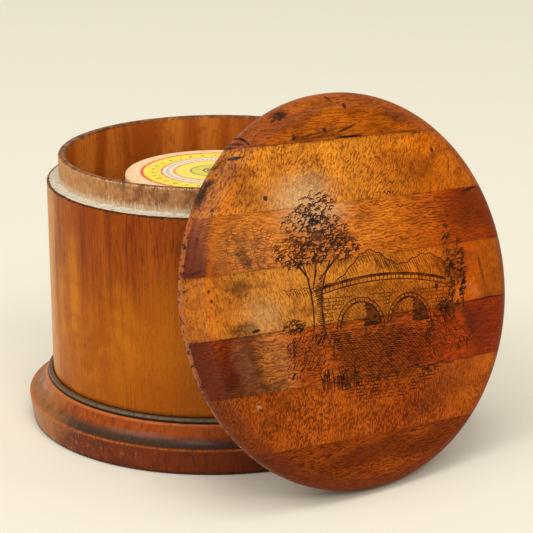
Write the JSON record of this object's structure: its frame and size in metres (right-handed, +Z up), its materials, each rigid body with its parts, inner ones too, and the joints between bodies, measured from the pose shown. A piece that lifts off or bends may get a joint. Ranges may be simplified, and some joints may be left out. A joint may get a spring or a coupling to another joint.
{
  "type": "string box",
  "caption": "Round turned wooden string box: a moulded foot, straight body and bare neck hold a string reel on a pin; the domed strip-built lid stands leaning on the neck.",
  "frame": {"origin": "centre of the foot's flat underside, on the tub's axis", "axes": "+Z up along the tub's axis; the loose lid stands towards -Y and leans back on the neck; the string hole is at +Y"},
  "size_m": [0.108, 0.133, 0.1013],
  "materials": {
    "foot_wood": "varnished, reddish brown, satin",
    "body_wood": "varnished, warm honey brown, satin",
    "neck_wood": "bare outside, polished inside, mid brown",
    "pin_steel": "satin",
    "reel_wood": "pale, plain turned",
    "string": "matt twisted cotton",
    "label_paper": "printed rings, matt",
    "lid_figured_wood": "varnished, dark red brown, satin",
    "lid_stippled_wood": "varnished, golden brown, satin"
  },
  "bodies": {
    "tub": {"foot": "foot_wood", "body_wall": "body_wood", "neck_liner": "neck_wood"},
    "lid": {"lid_stave_1": "lid_figured_wood", "lid_stave_2": "lid_stippled_wood", "lid_stave_3": "lid_figured_wood", "lid_stave_4": "lid_stippled_wood", "lid_stave_5": "lid_figured_wood", "lid_stave_6": "lid_stippled_wood", "lid_stave_7": "lid_figured_wood"},
    "spindle": {"spindle": "pin_steel"},
    "reel": {"reel": "reel_wood", "string_winding": "string", "top_label": "label_paper", "bottom_label": "label_paper"}
  },
  "joints": [
    {"name": "lid_lift", "type": "slide", "parent": "tub", "child": "lid", "axis": [0, 0, 1], "range_m": [0, 0.12]},
    {"name": "spindle_lift", "type": "slide", "parent": "tub", "child": "spindle", "axis": [0, 0, 1], "range_m": [0, 0.08]},
    {"name": "reel_spin", "type": "hinge", "parent": "spindle", "child": "reel", "pos_m": [0, 0, 0.04], "axis": [0, 0, 1], "continuous": true}
  ]
}
